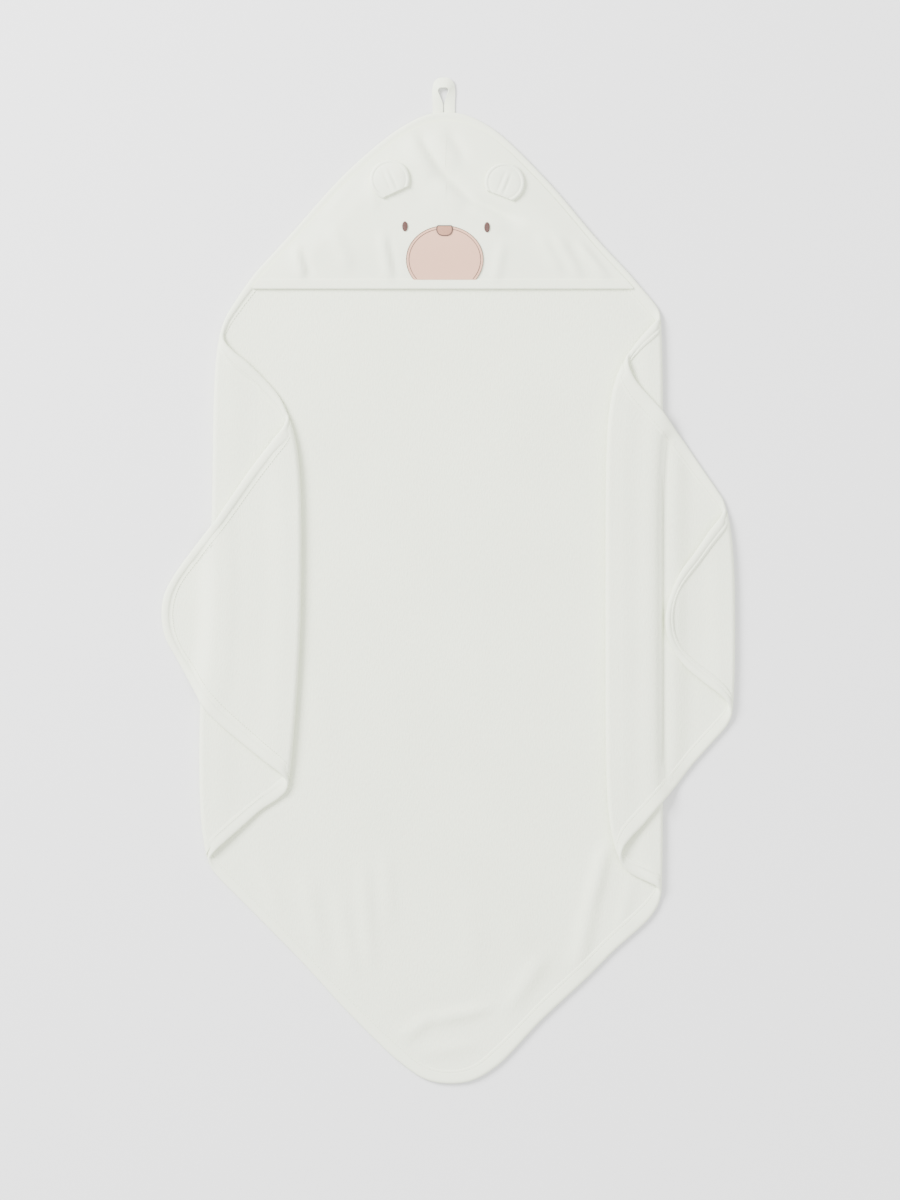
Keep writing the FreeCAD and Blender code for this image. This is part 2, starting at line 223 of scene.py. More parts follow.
def pile_cloth(name, base, painted_loop_shade, ranks, pile, rank_strength, sheen=0.25, roughness=0.95):
    """Terry or velour: flecks of a darker colour under a base colour, the low flecks painted shade between
    the loops, and ranks of pile along the cloth's length.
    """
    material, new, main, link = shader(name, base, roughness, sheen)
    tall = mapped(new, link, "UV", (ranks, ranks * 0.33, 1))
    fleck = noise(new, link, tall, 1.0, 3.0)
    broad = noise(new, link, mapped(new, link, "Object", (1, 1, 1)), 9.0, 2.0)
    colour = new("ShaderNodeMix")
    colour.data_type = "RGBA"
    colour.blend_type = "MULTIPLY"
    colour.inputs["Factor"].default_value = 1.0
    # painted shade: the low flecks, where the bump sinks between the loops, take the darker colour
    link(blend_colours(new, link, fleck, painted_loop_shade, base), colour.inputs["A"])
    link(blend_colours(new, link, broad, (0.965, 0.965, 0.96), (1, 1, 1), 0.3, 0.7), colour.inputs["B"])
    link(colour.outputs["Result"], main.inputs["Base Color"])
    raised(new, link, main, fleck, pile, rank_strength)
    grain = noise(new, link, mapped(new, link, "UV", (1, 1, 1)), ranks * 1.9, 1.0)
    raised(new, link, main, grain, pile * 0.5, rank_strength)
    return material


def tinted(colour, amount):
    """A colour made darker by an amount."""
    return tuple(channel * (1 - amount) for channel in colour)


# the second colour is painted shade for the pile's low flecks
terry = pile_cloth("terry", IVORY, tinted(IVORY, 0.045), 620, 0.0009, 0.5)
hem_cloth = pile_cloth("hem_cloth", IVORY, tinted(IVORY, 0.02), 900, 0.0003, 0.35, 0.15)
velour = pile_cloth("velour", IVORY, tinted(IVORY, 0.018), 1500, 0.0003, 0.35, 0.35)
print("cloth materials:", terry.name, hem_cloth.name, velour.name)

# %% [markdown]
# The muzzle is a flat cotton patch in a warm beige, with a fine, even weave that shows only as a faint
# grain. The nose and eyes are satin stitch: close, parallel threads with a slight gloss, so their ranks are
# stronger, with painted shade in the grooves between threads, and their roughness lower.


# %% Patch and thread materials
def woven_cloth(name, base, threads):
    """A flat weave: a fine cloud of flecks, faint in colour and in height."""
    material, new, main, link = shader(name, base, 0.85, 0.1)
    vector = mapped(new, link, "Object", (threads, threads, threads))
    fleck = noise(new, link, vector, 1.0, 2.0)
    link(blend_colours(new, link, fleck, tinted(base, 0.05), base), main.inputs["Base Color"])
    raised(new, link, main, fleck, 0.0002, 0.4)
    return material


def satin_stitch(name, groove_shade, light, turn=0.0):
    """Parallel threads: a band wave across the stitch, uneven, with painted shade in its grooves."""
    material, new, main, link = shader(name, light, 0.5, 0.2)
    vector = mapped(new, link, "Object", (1, 1, 1))
    vector.node.inputs["Rotation"].default_value[2] = turn
    wave = new("ShaderNodeTexWave")
    wave.inputs["Scale"].default_value = 420
    wave.inputs["Distortion"].default_value = 2.5
    wave.inputs["Detail"].default_value = 2.0
    wave.inputs["Detail Scale"].default_value = 0.6
    link(vector, wave.inputs["Vector"])
    # painted shade: the grooves, where the bump sinks, take the darker colour
    link(blend_colours(new, link, wave.outputs["Fac"], groove_shade, light, 0.1, 0.8), main.inputs["Base Color"])
    raised(new, link, main, wave.outputs["Fac"], 0.0003, 0.8)
    return material


muzzle_cloth = woven_cloth("muzzle_cloth", (0.62, 0.37, 0.26), 2600)
# the first colour of each thread is painted shade for its grooves
brown_thread = satin_stitch("brown_thread", (0.035, 0.02, 0.017), (0.11, 0.065, 0.055))
nose_thread = satin_stitch("nose_thread", (0.32, 0.14, 0.09), (0.5, 0.27, 0.17), 0.5)
eye_thread = satin_stitch("eye_thread", (0.025, 0.012, 0.01), (0.15, 0.06, 0.045), 0.9)
seam_thread = woven_cloth("seam_thread", tinted(IVORY, 0.05), 4000)

# %% [markdown]
# The towel is one cloth, so every piece of terry below is a slice of one surface. A column of the cloth has
# a number, its distance in millimetres from the middle line when the cloth is flat. Going out along the
# columns, the cloth runs flat, turns over a pleat, comes back, turns again, and ends in a corner. In
# section each fold is a half circle, and a cosine between two heights is that half circle exactly.

# %% The flat cloth
SIDE = 750.0
CORNER = 68.0
TIP = SIDE / math.sqrt(2) - CORNER * (math.sqrt(2) - 1)
CENTRE = SIDE / math.sqrt(2) - CORNER * math.sqrt(2)
ARC_REACH = CORNER / math.sqrt(2)
HALF_ARC = CORNER * math.pi / 4
QUARTER = SIDE - 2 * CORNER + 2 * HALF_ARC


def edge_height(column):
    """How far the flat cloth's edge stands from its middle line at a column: a straight slope of 45 degrees,
    with an arc over the top corner and another round the side corner."""
    away = np.abs(column)
    over_top = CENTRE + np.sqrt(np.maximum(CORNER**2 - away**2, 0))
    round_tip = np.sqrt(np.maximum(CORNER**2 - (away - CENTRE) ** 2, 0))
    slope = SIDE / math.sqrt(2) - away
    return np.where(away < ARC_REACH, over_top, np.where(away > CENTRE + ARC_REACH, round_tip, slope))


def column_at(run):
    """The column that the edge has reached after a run along it from the top corner's middle: half an arc,
    the straight side, and half an arc."""
    first = CORNER * np.sin(run / CORNER)
    straight = ARC_REACH + (run - HALF_ARC) / math.sqrt(2)
    last = CENTRE + CORNER * np.cos((QUARTER - run) / CORNER)
    return np.where(run < HALF_ARC, first, np.where(run > QUARTER - HALF_ARC, last, straight))


runs = np.linspace(0, QUARTER, 4001)
run_columns = column_at(runs)


def run_at(column):
    """The run along the edge from the top corner at which the edge passes a column."""
    return np.interp(column, run_columns, runs)


# %% The folds in section
THICK = 3.0
HALF = THICK / 2
LOOP = 3.05
REST = HALF
SECOND = REST + 2 * LOOP
BEND = LOOP * math.pi / 2
SPARE = 2 * BEND - 2 * LOOP


def ease(value, stations):
    """A height that goes from one station to the next along half a cosine, and is level at each."""
    at, height = np.array(stations, float).T
    index = np.clip(np.searchsorted(at, value) - 1, 0, len(at) - 2)
    share = np.clip((value - at[index]) / (at[index + 1] - at[index]), 0, 1)
    return height[index] + (height[index + 1] - height[index]) * (1 - np.cos(np.pi * share)) / 2


LEFT_ONE, LEFT_TWO = 247.0, 247.0 + 93.0 + SPARE
RIGHT_ONE, RIGHT_TWO = 223.0, 223.0 + 57.0 + SPARE
RIGHT_THREE = RIGHT_TWO + 131.0 + SPARE
RIGHT_PLACES = [222.0, 165.5, 296.5]
CORNER_SCALE = 0.88
SETTLED = 5.6
UPPER = SETTLED + 2 * LOOP
left_heights = [
    (0, REST), (LEFT_ONE - BEND, REST), (LEFT_ONE + BEND, SECOND), (LEFT_ONE + 18, SECOND),
    (LEFT_ONE + 45, SETTLED), (LEFT_TWO - BEND, SETTLED), (LEFT_TWO + BEND, UPPER), (LEFT_TWO + 18, UPPER),
    (LEFT_TWO + 45, 9.6), (LEFT_TWO + 70, 9.8), (LEFT_TWO + 86, 11.4), (LEFT_TWO + 98, 11.3),
    (LEFT_TWO + 122, 1.7), (TIP, 1.7),
]
right_heights = [
    (0, REST), (RIGHT_ONE - BEND, REST), (RIGHT_ONE + BEND, SECOND), (RIGHT_ONE + 16, SECOND),
    (RIGHT_TWO - 22, SETTLED), (RIGHT_TWO - BEND, SETTLED), (RIGHT_TWO + BEND, UPPER),
    (RIGHT_TWO + 18, UPPER), (RIGHT_TWO + 34, 10.4), (RIGHT_TWO + 44, 11.2), (RIGHT_TWO + 51, 11.0),
    (RIGHT_TWO + 60, 3.4), (RIGHT_TWO + 69, 5.6), (RIGHT_TWO + 90, REST),
    (RIGHT_THREE - BEND, REST), (RIGHT_THREE + BEND, SECOND), (RIGHT_THREE + 18, SECOND),
    (RIGHT_THREE + 42, SETTLED), (RIGHT_THREE + 54, SETTLED + 0.3), (RIGHT_THREE + 72, 10.0), (TIP, 11.0),
]


def across(column, folds, places):
    """Where a column lies across the towel: out from the middle, and turned back at each fold by a half
    circle. The nearest fold decides, and past the last one the cloth is scaled a little to end where it
    should."""
    folds = np.array(folds)
    places = together(column, *places)[..., 1:]
    nearest = np.abs(column[..., None] - folds).argmin(axis=-1)
    past = column - folds[nearest]
    away = np.abs(past)
    inward = np.where(away < BEND, LOOP * (1 - np.cos(np.minimum(away, BEND) / LOOP)), away - BEND + LOOP)
    outward = np.where(nearest % 2 == 0, 1.0, -1.0)
    last = (nearest == len(folds) - 1) & (past > 0)
    inward = np.where(last & (away > BEND), (away - BEND) * CORNER_SCALE + LOOP, inward)
    return places[(*np.indices(column.shape), nearest)] - outward * inward


def profile(column, height):
    """The towel's section at a height on the page: x and z for each column. The left pleat leans."""
    left_one = -246.0 + 7.5 * np.tanh((height + 20) / 90)
    left_two = -155.2 + 5.5 * np.tanh((height + 110) / 90)
    left = -across(-column, [LEFT_ONE, LEFT_TWO], [-left_one, -left_two])
    right = across(column, [RIGHT_ONE, RIGHT_TWO, RIGHT_THREE], RIGHT_PLACES)
    x = np.where(column < 0, left, right)
    x = x + (column - x) * fade(np.abs(column), 150)
    z = np.where(column < 0, ease(-column, left_heights), ease(column, right_heights))
    return x, z


FOLD_COLUMNS = (-LEFT_TWO, -LEFT_ONE, RIGHT_ONE, RIGHT_TWO, RIGHT_THREE)
print("folds at columns", [round(fold) for fold in FOLD_COLUMNS])

# %% [markdown]
# The hem pulls the cloth about, so it has its own four lines, one from each end of the towel to each side
# corner: smooth curves through a few given points, with a mark at each fold. Between the marks the
# columns are shared out evenly along the curve, so the hem keeps its length and no column crosses another.

# %% The hem's lines
top_left = [
    [(0, 496, 2.6), (-18, 494, 2.6), (-46, 480, 2.6), (-100, 435, 2.6), (-160, 369, 2.6), (-184, 343, 2.4),
     (-195, 331, 2.4), (-207, 315, 2.4), (-218, 299, 2.4), (-226.5, 285, 2.6), (-230.5, 273, 5.2)],
    [(-229, 262, 7.6), (-220.5, 251, 8.6), (-205, 238, 8.0), (-187, 220.5, 6.2), (-173.5, 205, 6.2),
     (-166, 192, 7.6), (-163.5, 183, 9.4)],
    [(-166, 173, 11.8), (-177, 158, 11.8), (-198, 131, 9.8), (-223, 95, 11.2), (-236, 76, 12.0),
     (-251, 57, 7.0), (-266, 38, 2.8), (-280, 18, 2.3), (-288.5, 0, 2.3), (-291, -20, 2.3)],
]
bottom_left = [
    [(3, -500, 2.3), (-20, -496, 2.3), (-44, -480.5, 2.3), (-97, -430, 2.3), (-150, -373, 2.3),
     (-213, -309, 2.3), (-232, -290, 2.3), (-240.5, -280, 2.6), (-244, -271, 5.2)],
    [(-240, -262, 7.6), (-229, -251, 7.8), (-212, -236, 6.8), (-192, -218.5, 6.0), (-175, -207, 6.2),
     (-166, -199, 7.4), (-163.5, -191, 9.4)],
    [(-168, -182, 11.8), (-185, -168, 11.8), (-212, -146, 10.2), (-233, -128, 11.0), (-247, -113, 11.6),
     (-259, -93, 5.8), (-275, -65, 2.5), (-287, -43, 2.3), (-291, -20, 2.3)],
]
top_right = [
    [(0, 496, 2.6), (18, 494, 2.6), (46, 480, 2.6), (100, 429, 2.6), (157, 363, 2.6), (187, 331, 2.4),
     (199, 317, 2.4), (210.5, 303.5, 2.4), (217.5, 294, 2.7), (219.5, 287, 5.2)],
    [(216, 280.5, 7.8), (207.5, 271.5, 7.8), (198, 261, 6.3), (190, 251, 6.6), (186.6, 245, 9.2)],
    [(186.2, 238, 11.8), (188.3, 230, 12.0), (192.5, 221.5, 11.8), (200, 211.5, 11.7), (211, 199.5, 11.4),
     (222, 187, 11.4), (232, 173, 7.0), (243, 158, 3.0), (262, 131, 2.4), (277.5, 109, 2.4),
     (285.5, 96.5, 2.7), (287, 88, 5.2)],
    [(283, 79, 8.0), (273, 66, 9.4), (257, 43, 8.2), (243, 24, 7.2), (233.5, 5, 7.8), (228.5, -11, 9.8),
     (227, -25, 11.2)],
]
bottom_right = [
    [(3, -500, 2.3), (26, -497, 2.3), (50, -483, 2.3), (99, -433, 2.3), (143, -392, 2.3), (172, -363, 2.3),
     (205, -333, 2.4), (214.5, -321, 2.4), (219, -311.5, 2.7), (220.5, -304, 5.2)],
    [(217.5, -297, 7.8), (210, -292.5, 7.8), (200, -288, 6.3), (188.5, -282, 6.6), (182, -275, 9.2)],
    [(179.8, -266.5, 11.8), (181.5, -257.5, 12.0), (188.5, -247, 11.8), (201, -233.5, 11.6),
     (214, -218.5, 11.2), (225, -206, 8.4), (235, -194.5, 3.0), (251, -174, 2.4), (274, -148, 2.4),
     (288, -132, 2.6), (293.5, -120, 5.2)],
    [(290, -108, 8.0), (280, -97.5, 9.2), (265, -86, 8.0), (247.5, -71, 7.2), (235.5, -56, 7.6),
     (229, -41, 10.0), (227, -25, 11.2)],
]
FOLDS = {"left": [0, LEFT_ONE, LEFT_TWO, TIP], "right": [0, RIGHT_ONE, RIGHT_TWO, RIGHT_THREE, TIP]}


def smooth_line(points, start, end, per_span=24):
    """A curve through points, each span a cubic whose ends slope towards the points beside it. The knots are
    as far apart as the square roots of the spans, which keeps a tight turn from looping."""
    whole = np.vstack([start, points, end]).astype(float)
    knots = np.concatenate([[0], np.cumsum(np.sqrt(np.linalg.norm(np.diff(whole, axis=0), axis=1)))])
    share = np.linspace(0, 1, per_span, endpoint=False)
    first = np.arange(1, len(whole) - 2)
    at = knots[first][:, None] + share * (knots[first + 1] - knots[first])[:, None]
    p = [whole[first + i][:, None, :] for i in (-1, 0, 1, 2)]
    k = [knots[first + i][:, None, None] for i in (-1, 0, 1, 2)]
    at = at[..., None]

    def between(a, b, low, high):
        return (high - at) / (high - low) * a + (at - low) / (high - low) * b

    a1, a2, a3 = (between(p[i], p[i + 1], k[i], k[i + 1]) for i in range(3))
    b1, b2 = between(a1, a2, k[0], k[2]), between(a2, a3, k[1], k[3])
    curve = between(b1, b2, k[1], k[2]).reshape(-1, 3)
    return np.vstack([curve, whole[-2]])


def hem_line(stretches, folds, start, end, per_span=24):
    """A hem's line and the column at each of its points. The runs between two folds are shared out by
    length."""
    points = np.array([point for stretch in stretches for point in stretch], float)
    curve = smooth_line(points, start, end, per_span)
    length = np.concatenate([[0], np.cumsum(np.linalg.norm(np.diff(curve, axis=0), axis=1))])
    marks = np.cumsum([len(stretch) for stretch in stretches]) - 1
    marked = np.concatenate([[0], length[marks * per_span]])
    return column_at(np.interp(length, marked, run_at(np.array(folds)))), curve


lines = {}
for name, left, right, far_left, far_right in (
    ("top", top_left, top_right, bottom_left, bottom_right),
    ("bottom", bottom_left, bottom_right, top_left, top_right),
):
    left_columns, left_curve = hem_line(left, FOLDS["left"], right[0][1], far_left[-1][-2])
    right_columns, right_curve = hem_line(right, FOLDS["right"], left[0][1], far_right[-1][-2])
    columns = np.concatenate([-left_columns[::-1], right_columns[1:]])
    lines[name] = (columns, np.vstack([left_curve[::-1], right_curve[1:]]))
    print(f"{name} hem: {len(columns)} points, {columns[0]:.0f} to {columns[-1]:.0f}")


def on_hem(name, column):
    """The points of a hem's line at some columns."""
    columns, curve = lines[name]
    return together(*(np.interp(column, columns, curve[:, axis]) for axis in range(3)))


# %% [markdown]
# Now the surface itself. A point of the cloth is a column and a share of the way up it. It starts from the
# folds' section, and near either hem it is drawn over to the hem's line, wholly at the hem and not at all
# beyond a hand's width.

# %% The towel's surface
PULL = 34.0
LIFT = 15.0
# each crease: from x and y, to x and y, its half width, and how high it stands
GROUND_CREASES = [
    (166, -250, 146, -330, 7, 5.0), (148, -316, 132, -392, 8, 4.4), (178, -296, 162, -340, 5, -2.0),
    (192, -286, 176, -352, 6, 4.6), (-50, -458, -14, -432, 6, 3.2), (-22, -438, 48, -424, 6, 3.2),
    (-34, -472, 34, -462, 7, 1.8), (-86, -270, -78, -392, 6, 2.4), (-62, -262, -58, -342, 6, 1.8),
    (-206, -262, -170, -330, 8, 2.4), (-146, -282, -130, -372, 9, 2.2), (-112, -300, -96, -400, 8, 1.8),
    (104, -366, 60, -430, 9, 2.6), (62, -330, 96, -400, 12, 1.4), (20, -300, 30, -400, 14, 1.0),
    (196, -60, 196, 160, 16, 0.5), (-120, -190, -135, -60, 12, 0.6), (60, 240, 70, 120, 30, 0.8),
]


def soft_rise(x, y):
    """How much the ground layer stands off the ground: low broad swells, and a few soft creases near the
    hem."""
    rise = 0.35 * (1 + np.sin(x / 47 + 1.1) * np.sin(y / 63 + 0.4))
    for *ends, width, height in GROUND_CREASES:
        rise = rise + height * crease(x, y, *ends, width)
    return rise


def crease(x, y, x0, y0, x1, y1, width):
    """A ridge of height one along a straight line from one point to another, rounded across and faded
    along."""
    dx, dy = x1 - x0, y1 - y0
    length = math.hypot(dx, dy)
    along = ((x - x0) * dx + (y - y0) * dy) / length**2
    aside = ((x - x0) * dy - (y - y0) * dx) / length
    return np.exp(-((aside / width) ** 2)) * np.exp(-(((along - 0.5) / 0.42) ** 4))


def towel(column, share):
    """Points of the cloth's middle: columns across, and shares of the way from the lower hem to the upper."""
    column, share = np.broadcast_arrays(np.asarray(column, float), np.asarray(share, float))
    low, high = on_hem("bottom", column), on_hem("top", column)
    y = low[..., 1] + (high[..., 1] - low[..., 1]) * share
    x, z = profile(column, y)
    length = high[..., 1] - low[..., 1]
    pull_high = np.exp(-(1 - share) * length / PULL) * share
    pull_low = np.exp(-share * length / PULL) * (1 - share)
    lift_high = np.exp(-(1 - share) * length / LIFT) * share
    lift_low = np.exp(-share * length / LIFT) * (1 - share)
    x_high, z_high = profile(column, high[..., 1])
    x_low, z_low = profile(column, low[..., 1])
    rise = soft_rise(x, y) * fade(np.abs(column) - 150, 58) * (1 - lift_high - lift_low)
    x = x + pull_high * (high[..., 0] - x_high) + pull_low * (low[..., 0] - x_low)
    z = z + lift_high * (high[..., 2] - z_high) + lift_low * (low[..., 2] - z_low)
    return together(x, y, z + np.maximum(rise, 0))


# %% [markdown]
# The cloth is cut into slices where nothing shows: each fold is a slice fixed in place, and what lies
# between two folds rides on one body. The columns are close together round each fold. The slices are cut
# from one grid with one set of normals, so they meet without a step.

# %% Slices of terry
FOLD_BEFORE, FOLD_AFTER = 25.0, 18.0
slices = [
    ("left_corner", -TIP, -LEFT_TWO - FOLD_AFTER, "left_corner_layer"),
    ("left_corner_fold", -LEFT_TWO - FOLD_AFTER, -LEFT_TWO + FOLD_BEFORE, "left_corner_fold"),
    ("left_inner", -LEFT_TWO + FOLD_BEFORE, -LEFT_ONE - FOLD_AFTER, "left_inner_layer"),
    ("left_pleat", -LEFT_ONE - FOLD_AFTER, -LEFT_ONE + FOLD_BEFORE, "left_pleat"),
    ("body", -LEFT_ONE + FOLD_BEFORE, RIGHT_ONE - FOLD_BEFORE, "towel"),
    ("right_pleat", RIGHT_ONE - FOLD_BEFORE, RIGHT_ONE + 16, "right_pleat"),
    ("right_inner", RIGHT_ONE + 16, RIGHT_TWO - 21, "right_inner_layer"),
    ("right_middle_fold", RIGHT_TWO - 21, RIGHT_TWO + FOLD_AFTER, "right_middle_fold"),
    ("right_middle", RIGHT_TWO + FOLD_AFTER, RIGHT_THREE - FOLD_BEFORE, "right_middle_layer"),
    ("right_corner_fold", RIGHT_THREE - FOLD_BEFORE, RIGHT_THREE + FOLD_AFTER, "right_corner_fold"),
    ("right_corner", RIGHT_THREE + FOLD_AFTER, TIP, "right_corner_layer"),
]
EDGE_INSET = 4.0
ROUNDING = 0.002
GRID = 5.0
ROWS = 221


def columns_between(start, end):
    """Columns from start to end, a grid step apart, and six times closer round any fold between them."""
    points = [np.linspace(start, end, max(3, int(abs(end - start) / GRID) + 1))]
    for fold in FOLD_COLUMNS:
        if start < fold < end:
            points.append(np.linspace(fold - 8, fold + 8, 21))
    return np.unique(np.round(np.concatenate(points), 3))


def terry_edge(column):
    """How far up a column, from its middle, the terry goes inside the hem."""
    return np.maximum(edge_height(column) - EDGE_INSET * math.sqrt(2), 0.6)


def towel_grid(columns):
    """The cloth's points for whole columns, as rows by columns, with the flat place of each."""
    half = edge_height(columns)
    inner = terry_edge(columns)
    steps = np.linspace(-1, 1, ROWS)[:, None]
    flat = steps * inner
    share = (flat + half) / (2 * np.maximum(half, 1e-6))
    return towel(columns, share), together(columns, flat)


tip_inset = TIP - EDGE_INSET
all_columns = np.unique(np.concatenate([
    columns_between(max(start, -tip_inset), min(end, tip_inset)) for _, start, end, _ in slices
]))
grid, flat_places = towel_grid(all_columns)
normals = grid_normals(grid)
LOWER_BLEND = (5.3, 6.1)
UPPER_BLEND = (9.0, 10.2)
blends = {
    "left_pleat": LOWER_BLEND, "left_corner_fold": UPPER_BLEND, "right_pleat": LOWER_BLEND,
    "right_middle_fold": UPPER_BLEND, "right_corner_fold": LOWER_BLEND,
}


def attach(piece, holder):
    """Rides a piece on a body, or, at a fold, bakes its place into its points."""
    if holder in blends:
        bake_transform(piece)
    else:
        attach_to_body(piece, holder)
    return piece


panels = {}
for name, start, end, holder in slices:
    inside = (all_columns > start - ROUNDING) & (all_columns < end + ROUNDING)
    panels[name] = cloth(
        f"{name}_terry", grid[:, inside], HALF, terry, flat_places[:, inside], normals[:, inside]
    )
    print(f"{name}: {inside.sum()} columns, {len(panels[name].data.polygons)} faces")

# %% [markdown]
# Round the whole towel runs a hem: a round bead at the very edge, a flat band inside it, and a line of
# stitching. It is a section carried along the edge, placed by the towel's own surface at the edge and a
# band's width inside it, so the hem lies on the cloth in every fold. Travelling clockwise round the edge,
# the cloth is always on the right hand.

# %% The hem's frames
BAND = 12.0
STEP = 3.0
# each pair is how far inside the edge, and how far off the cloth's middle: the front first, then the back
plain_back = [
    (12.0, -1.3), (10.8, -1.4), (9.9, -1.45), (9.0, -1.45), (7.0, -1.45), (4.5, -1.45), (2.5, -1.4),
    (0.8, -1.3), (-0.8, -1.05), (-1.9, -0.5),
]
front_up = np.array([
    (-2.3, 0.3), (-2.0, 1.5), (-1.1, 2.25), (0.4, 2.6), (2.2, 2.55), (4.5, 2.35), (7.0, 2.2), (8.6, 2.05),
    (9.4, 1.75), (10.2, 1.95), (11.3, 1.8), (12.0, 1.4), *plain_back,
])
rolled = np.array([
    (-2.3, 0.2), (-2.0, 1.4), (-1.1, 2.3), (0.4, 2.8), (2.2, 2.85), (3.6, 2.75), (4.8, 2.4), (5.4, 1.9),
    (5.9, 1.45), (8.0, 1.45), (10.5, 1.45), (12.0, 1.4), *plain_back,
])
TURNING = 24.0
ROLLED_AT, ROLLED_REACH = -222.0, 40.0
THIN_BACK = -1.5
back_up = np.array([
    (-2.3, -0.2), (-2.0, 0.5), (-1.1, 1.0), (0.4, 1.35), (2.2, 1.4), (4.5, 1.4), (7.0, 1.4), (8.6, 1.4),
    (9.4, 1.4), (10.2, 1.4), (11.3, 1.4), (12.0, 1.3),
    (12.0, -1.4), (10.2, -1.45), (9.8, -1.9), (9.3, -2.6), (6.6, -2.6), (5.9, -1.9), (5.2, -2.6), (1.4, -2.5),
    (-0.9, -1.9), (-2.0, -1.0),
])


def turned_over(column):
    """How far the cloth shows its back at a column: wholly between the first fold and the second, and past
    the third, with a short change at each fold."""
    away = np.abs(column)

    def past(fold):
        return 1 - fade(away - fold + TURNING / 2, TURNING)

    left = past(LEFT_ONE) - past(LEFT_TWO)
    right = past(RIGHT_ONE) - past(RIGHT_TWO) + past(RIGHT_THREE)
    return np.where(column < 0, left, right)


def flat_edge(run):
    """The flat cloth's edge after a run clockwise from the middle of the top, as across and up."""
    quarter = np.floor(run / QUARTER).astype(int) % 4
    local = run - np.floor(run / QUARTER) * QUARTER
    local = np.where(quarter % 2 == 1, QUARTER - local, local)
    column = column_at(local)
    height = edge_height(column)
    x, y = np.where(quarter < 2, column, -column), np.where(quarter % 3 == 0, height, -height)
    return together(x, y)


def flat_inside(run, inside):
    """The flat point that far inside the edge, square to it."""
    ahead = unit(flat_edge(run + 0.5) - flat_edge(run - 0.5))
    return flat_edge(run) + inside * together(ahead[..., 1], -ahead[..., 0])


def on_towel(flat):
    """The surface's point at a flat place."""
    half = np.maximum(edge_height(flat[..., 0]), 1e-6)
    return towel(flat[..., 0], np.clip((flat[..., 1] + half) / (2 * half), 0, 1))


def hem_frames(run):
    """At each run: the edge, the surface a band's width inside it, and the unit way off the front of the
    cloth."""
    edge = on_towel(flat_inside(run, 0.0))
    inside = on_towel(flat_inside(run, BAND))
    ahead = on_towel(flat_inside(run + 1.5, 0.0)) - on_towel(flat_inside(run - 1.5, 0.0))
    return edge, inside, unit(np.cross(inside - edge, ahead))


def hem_points(run):
    """The hem's section carried along the edge: its points are in from the edge along the cloth, and off its
    middle, and the section changes over where the cloth does."""
    edge, inside, off = hem_frames(run)
    place = flat_edge(run)
    back = turned_over(place[:, 0])[:, None, None]
    near_fold = np.minimum(1.6 * fade(np.abs(place[:, 0] - ROLLED_AT), ROLLED_REACH), 1) * (place[:, 1] > 0)
    roll = np.maximum(near_fold, 1 - fade(-place[:, 0] - LEFT_TWO, 30))[:, None, None]
    thin = ((place[:, 0] < 0) & (place[:, 1] < 0))[:, None]
    turned = np.broadcast_to(back_up, (len(run), *back_up.shape)).copy()
    depth = turned[..., 1]
    turned[..., 1] = np.where(thin & (depth < THIN_BACK), THIN_BACK + 0.2 * (depth - THIN_BACK), depth)
    front = front_up + (rolled - front_up) * roll
    section = front + (turned - front) * back
    step = (inside - edge)[:, None] / BAND
    return edge[:, None] + section[..., :1] * step + section[..., 1:] * off[:, None]


def edge_runs(start, end):
    """The stretches of the edge that belong to the columns from start to end: one round a corner, or two."""
    turn = 2 * QUARTER
    if end >= TIP:
        return [("round", run_at(start), turn - run_at(start))]
    if start <= -TIP:
        return [("round", turn + run_at(-end), 2 * turn - run_at(-end))]
    first, last = math.copysign(run_at(abs(start)), start), math.copysign(run_at(abs(end)), end)
    return [("upper", first, last), ("lower", turn - last, turn - first)]


# %% [markdown]
# The stitches are little spindles of thread, pulled down into the groove. There are hundreds of them, so
# each has a few dozen faces, and a whole row is laid out at once along the run, which bends it with the
# hem.

# %% Hem and stitches
STITCH = 3.4
STITCH_RADIUS = 0.34
# where a row of stitches lies: how far inside the edge, and how far off the cloth's middle
FRONT_ROW = (9.4, 1.9)
BACK_ROW = (7.6, -2.65)
THIN_BACK_ROW = (7.6, -1.75)


def stitch_row(name, start, end, inside, off):
    """A row of stitches along the edge from a run to a run: six sides, and thin at both ends."""
    count = max(1, int(round((end - start) / STITCH)))
    pitch = (end - start) / count
    middles = start + pitch * (np.arange(count) + 0.5)
    along = np.array([-0.41, -0.3, 0.0, 0.3, 0.41]) * pitch
    girth = np.array([0.15, 0.85, 1.0, 0.85, 0.15]) * STITCH_RADIUS
    runs_at = middles[:, None] + along
    edge, inner, up = hem_frames(runs_at.ravel())
    step = (inner - edge) / BAND
    angles = np.linspace(0, 2 * np.pi, 6, endpoint=False)
    sideways = np.tile(girth, count)[:, None] * np.cos(angles)
    upward = np.tile(girth, count)[:, None] * np.sin(angles)
    points = (edge + inside * step)[:, None] + sideways[..., None] * step[:, None] \
        + (off + upward)[..., None] * up[:, None]
    points = points.reshape(count, len(along), 6, 3)
    one = grid_quads(len(along), 6, closed=True).reshape(-1, 4)
    lids = np.array([[0, 1, 2, 3], [0, 3, 4, 5]])
    one = np.concatenate([one, lids[:, ::-1], lids + 6 * (len(along) - 1)])
    faces = one[None] + (np.arange(count) * len(along) * 6)[:, None, None]
    return add_piece(name, points, faces, seam_thread)


hems = {}
for name, start, end, holder in slices:
    parts = []
    for place, first, last in edge_runs(start, end):
        run = np.linspace(first, last, max(4, int((last - first) / STEP) + 1))
        label = f"{name}_{place}_hem"
        across_map = together(front_up[:, 0], run[:, None])
        parts.append(swept(label, hem_points(run), hem_cloth, across_map))
        parts.append(stitch_row(f"{label}_stitches", first, last, *FRONT_ROW))
        if name in ("left_inner", "right_inner", "right_corner"):
            row = THIN_BACK_ROW if (name, place) == ("left_inner", "lower") else BACK_ROW
            parts.append(stitch_row(f"{label}_back_stitches", first, last, *row))
    hems[name] = parts
    print(f"{name}: {len(parts)} pieces of hem")

